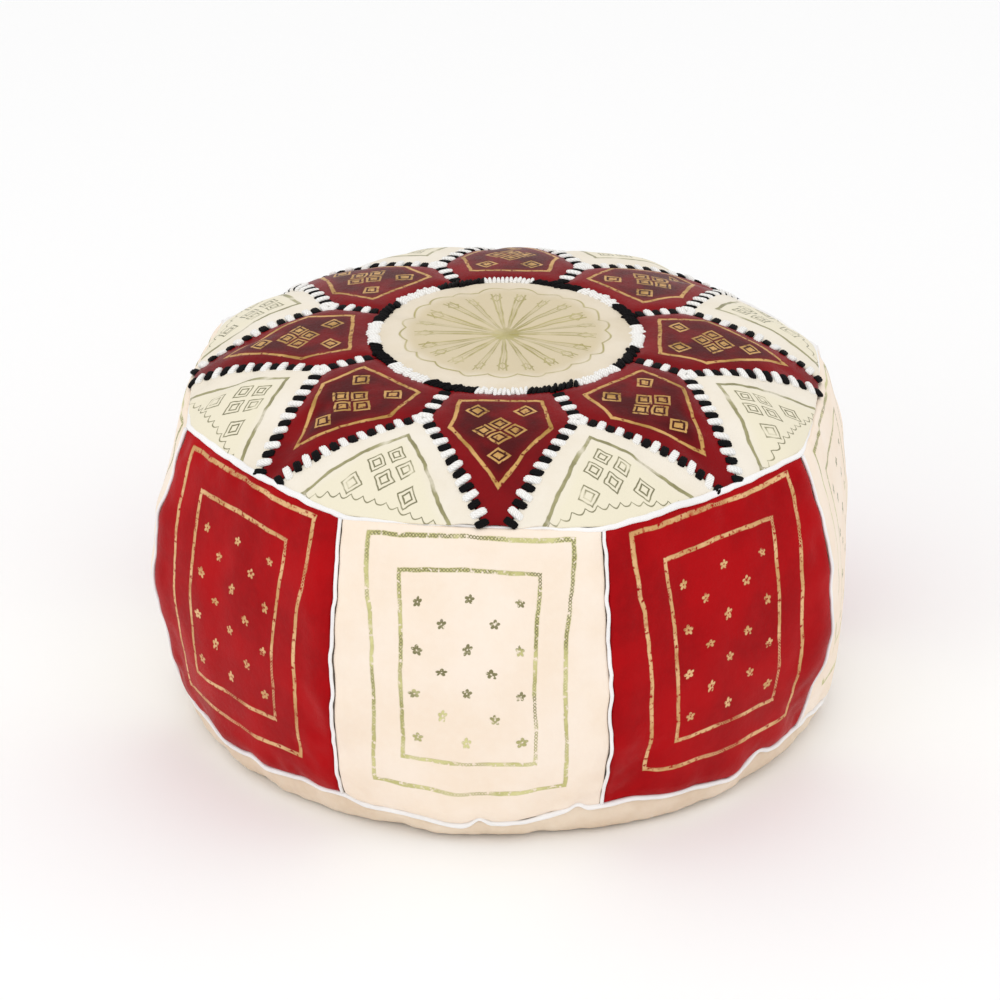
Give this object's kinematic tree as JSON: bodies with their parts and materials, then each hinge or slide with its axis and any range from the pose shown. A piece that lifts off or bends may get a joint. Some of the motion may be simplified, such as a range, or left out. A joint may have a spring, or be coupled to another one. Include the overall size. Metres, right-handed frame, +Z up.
{
  "type": "leather pouf",
  "caption": "Round stuffed leather floor cushion with alternating side panels, an embroidered star top, piped seams and a zipped base.",
  "frame": {"origin": "on the floor under the centre of the cushion", "axes": "+Z up; -Y towards the middle of the first cream side panel; the zip in the base runs along X and closes towards +X"},
  "size_m": [0.5392, 0.5392, 0.305],
  "materials": {
    "cherry_leather": "semi-gloss dyed goatskin, cherry red, with gold foil stamping",
    "burgundy_leather": "polished dyed goatskin, dark red, with gold foil stamping",
    "cream_leather": "matt cream goatskin with worn gold foil stamping",
    "ivory_leather": "matt ivory goatskin with olive-gold foil stamping",
    "base_leather": "plain natural goatskin, matt",
    "white_piping": "white leather cord cover, matt",
    "whipping_thread": "soft twisted thread, whipped in black and white",
    "cotton_lining": "plain woven unbleached cotton",
    "stuffing": "loose cotton wadding",
    "zip_tape": "woven twill tape",
    "zip_brass": "satin brass"
  },
  "bodies": {
    "pouf": {"filling": "stuffing", "cotton_lining": "cotton_lining", "centre_medallion": "ivory_leather", "medallion_stitching": "whipping_thread", "star_petal_1": "burgundy_leather", "top_triangle_1": "ivory_leather", "star_stitching_1": "whipping_thread", "star_petal_2": "burgundy_leather", "top_triangle_2": "ivory_leather", "star_stitching_2": "whipping_thread", "star_petal_3": "burgundy_leather", "top_triangle_3": "ivory_leather", "star_stitching_3": "whipping_thread", "star_petal_4": "burgundy_leather", "top_triangle_4": "ivory_leather", "star_stitching_4": "whipping_thread", "star_petal_5": "burgundy_leather", "top_triangle_5": "ivory_leather", "star_stitching_5": "whipping_thread", "star_petal_6": "burgundy_leather", "top_triangle_6": "ivory_leather", "star_stitching_6": "whipping_thread", "star_petal_7": "burgundy_leather", "top_triangle_7": "ivory_leather", "star_stitching_7": "whipping_thread", "star_petal_8": "burgundy_leather", "top_triangle_8": "ivory_leather", "star_stitching_8": "whipping_thread", "side_panel_1_cream": "cream_leather", "side_panel_2_red": "cherry_leather", "side_panel_3_cream": "cream_leather", "side_panel_4_red": "cherry_leather", "side_panel_5_cream": "cream_leather", "side_panel_6_red": "cherry_leather", "side_panel_7_cream": "cream_leather", "side_panel_8_red": "cherry_leather", "rim_piping": "white_piping", "base_piping": "white_piping", "side_piping_1": "white_piping", "side_piping_2": "white_piping", "side_piping_3": "white_piping", "side_piping_4": "white_piping", "side_piping_5": "white_piping", "side_piping_6": "white_piping", "side_piping_7": "white_piping", "side_piping_8": "white_piping", "base_half_front": "base_leather", "base_half_back": "base_leather", "zip_tape_front": "zip_tape", "zip_tape_back": "zip_tape", "zip_teeth_front": "zip_brass", "zip_teeth_back": "zip_brass", "zip_top_stop": "zip_brass", "zip_bottom_stop": "zip_brass"},
    "zip_slider_body": {"zip_slider": "zip_brass"},
    "zip_pull_body": {"zip_pull": "zip_brass"}
  },
  "joints": [
    {"name": "zip_slide", "type": "slide", "parent": "pouf", "child": "zip_slider_body", "axis": [-1, 0, 0], "range_m": [0, 0.28]},
    {"name": "pull_hinge", "type": "hinge", "parent": "zip_slider_body", "child": "zip_pull_body", "pos_m": [0.14, 0, 0.0025], "axis": [0, -1, 0], "range_deg": [0, 170]}
  ]
}
